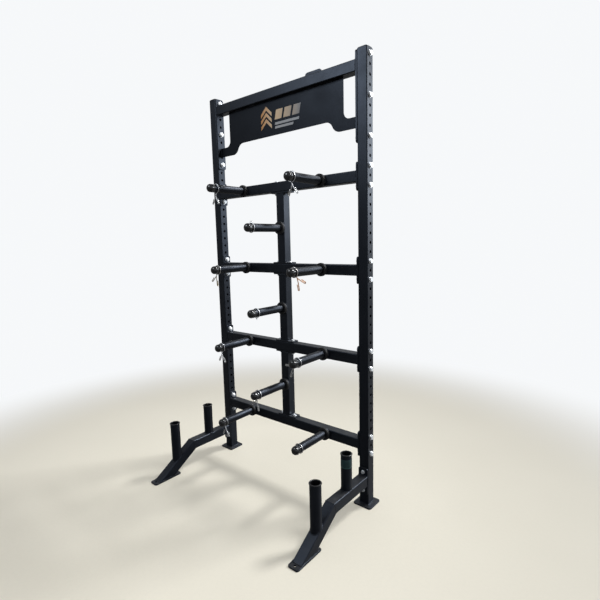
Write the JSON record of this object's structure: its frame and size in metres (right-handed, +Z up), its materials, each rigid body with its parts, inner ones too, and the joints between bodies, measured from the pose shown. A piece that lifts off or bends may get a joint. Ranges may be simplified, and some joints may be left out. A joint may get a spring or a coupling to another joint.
{
  "type": "plate and barbell storage tower",
  "caption": "Tall steel gym storage tower with plate pegs, wire clips, a slotted sign plate and two front feet carrying open barbell tubes.",
  "frame": {"origin": "on the floor at the middle of the whole footprint", "axes": "+Z up, -Y the front where pegs and feet point, +X towards the right upright as seen by a viewer who faces the front"},
  "size_m": [1.296, 0.728, 2.496],
  "materials": {
    "powder_black": "satin, lightly textured",
    "cap_plastic": "satin",
    "peg_steel": "satin, worn along the top",
    "rubber_black": "matte",
    "cap_gloss": "gloss",
    "zinc_wire": "bright zinc",
    "grip_brown": "yellow zinc",
    "zinc_bolt": "zinc plated",
    "sign_black": "satin",
    "liner_black": "satin"
  },
  "bodies": {
    "tower": {"upright_left": "powder_black", "upright_right": "powder_black", "upright_caps": "cap_plastic", "base_plates": "powder_black", "top_tube": "powder_black", "top_side_plate_left": "powder_black", "top_side_plate_right": "powder_black", "sign_plate": "sign_black", "rear_tab": "powder_black", "crossmember_1": "powder_black", "crossmember_1_plates": "powder_black", "crossmember_2": "powder_black", "crossmember_2_plates": "powder_black", "crossmember_3": "powder_black", "crossmember_3_plates": "powder_black", "crossmember_4": "powder_black", "crossmember_4_plates": "powder_black", "post_1": "powder_black", "post_1_flanges": "powder_black", "post_2": "powder_black", "post_2_flanges": "powder_black", "post_3": "powder_black", "post_3_flanges": "powder_black", "peg_tubes_1": "peg_steel", "peg_tubes_2": "peg_steel", "peg_tubes_3": "peg_steel", "peg_tubes_4": "peg_steel", "peg_tubes_middle": "peg_steel", "peg_discs": "powder_black", "peg_collars": "rubber_black", "peg_caps": "cap_gloss", "leg_left": "powder_black", "leg_right": "powder_black", "leg_plates": "powder_black", "foot_plates": "powder_black", "holder_left_rear": "powder_black", "holder_left_front": "powder_black", "holder_right_rear": "powder_black", "holder_right_front": "powder_black", "holder_liners": "liner_black", "bolts_m16": "zinc_bolt", "nuts_m16": "zinc_bolt", "bolts_m12_legs": "zinc_bolt", "nuts_m12_legs": "zinc_bolt", "bolts_m12_posts": "zinc_bolt", "nuts_m12_posts": "zinc_bolt"},
    "clip_1_left_body": {"clip_1_left": "zinc_wire"},
    "clip_1_right_body": {"clip_1_right": "zinc_wire"},
    "clip_2_left_body": {"clip_2_left": "grip_brown"},
    "clip_2_right_body": {"clip_2_right": "grip_brown"},
    "clip_3_left_body": {"clip_3_left": "zinc_wire"},
    "clip_3_right_body": {"clip_3_right": "zinc_wire"},
    "clip_4_left_body": {"clip_4_left": "zinc_wire"},
    "clip_4_right_body": {"clip_4_right": "zinc_wire"},
    "clip_middle_1_body": {"clip_middle_1": "zinc_wire"},
    "clip_middle_2_body": {"clip_middle_2": "zinc_wire"},
    "clip_middle_3_body": {"clip_middle_3": "zinc_wire"}
  },
  "joints": [
    {"name": "clip_1_left_slide", "type": "slide", "parent": "tower", "child": "clip_1_left_body", "axis": [0, -1, 0], "range_m": [-0.2, 0.1]},
    {"name": "clip_1_right_slide", "type": "slide", "parent": "tower", "child": "clip_1_right_body", "axis": [0, -1, 0], "range_m": [-0.2, 0.1]},
    {"name": "clip_2_left_slide", "type": "slide", "parent": "tower", "child": "clip_2_left_body", "axis": [0, -1, 0], "range_m": [-0.2, 0.1]},
    {"name": "clip_2_right_slide", "type": "slide", "parent": "tower", "child": "clip_2_right_body", "axis": [0, -1, 0], "range_m": [-0.2, 0.1]},
    {"name": "clip_3_left_slide", "type": "slide", "parent": "tower", "child": "clip_3_left_body", "axis": [0, -1, 0], "range_m": [-0.2, 0.1]},
    {"name": "clip_3_right_slide", "type": "slide", "parent": "tower", "child": "clip_3_right_body", "axis": [0, -1, 0], "range_m": [-0.2, 0.1]},
    {"name": "clip_4_left_slide", "type": "slide", "parent": "tower", "child": "clip_4_left_body", "axis": [0, -1, 0], "range_m": [-0.2, 0.1]},
    {"name": "clip_4_right_slide", "type": "slide", "parent": "tower", "child": "clip_4_right_body", "axis": [0, -1, 0], "range_m": [-0.2, 0.1]},
    {"name": "clip_middle_1_slide", "type": "slide", "parent": "tower", "child": "clip_middle_1_body", "axis": [0, -1, 0], "range_m": [-0.2, 0.1]},
    {"name": "clip_middle_2_slide", "type": "slide", "parent": "tower", "child": "clip_middle_2_body", "axis": [0, -1, 0], "range_m": [-0.2, 0.1]},
    {"name": "clip_middle_3_slide", "type": "slide", "parent": "tower", "child": "clip_middle_3_body", "axis": [0, -1, 0], "range_m": [-0.2, 0.1]}
  ]
}
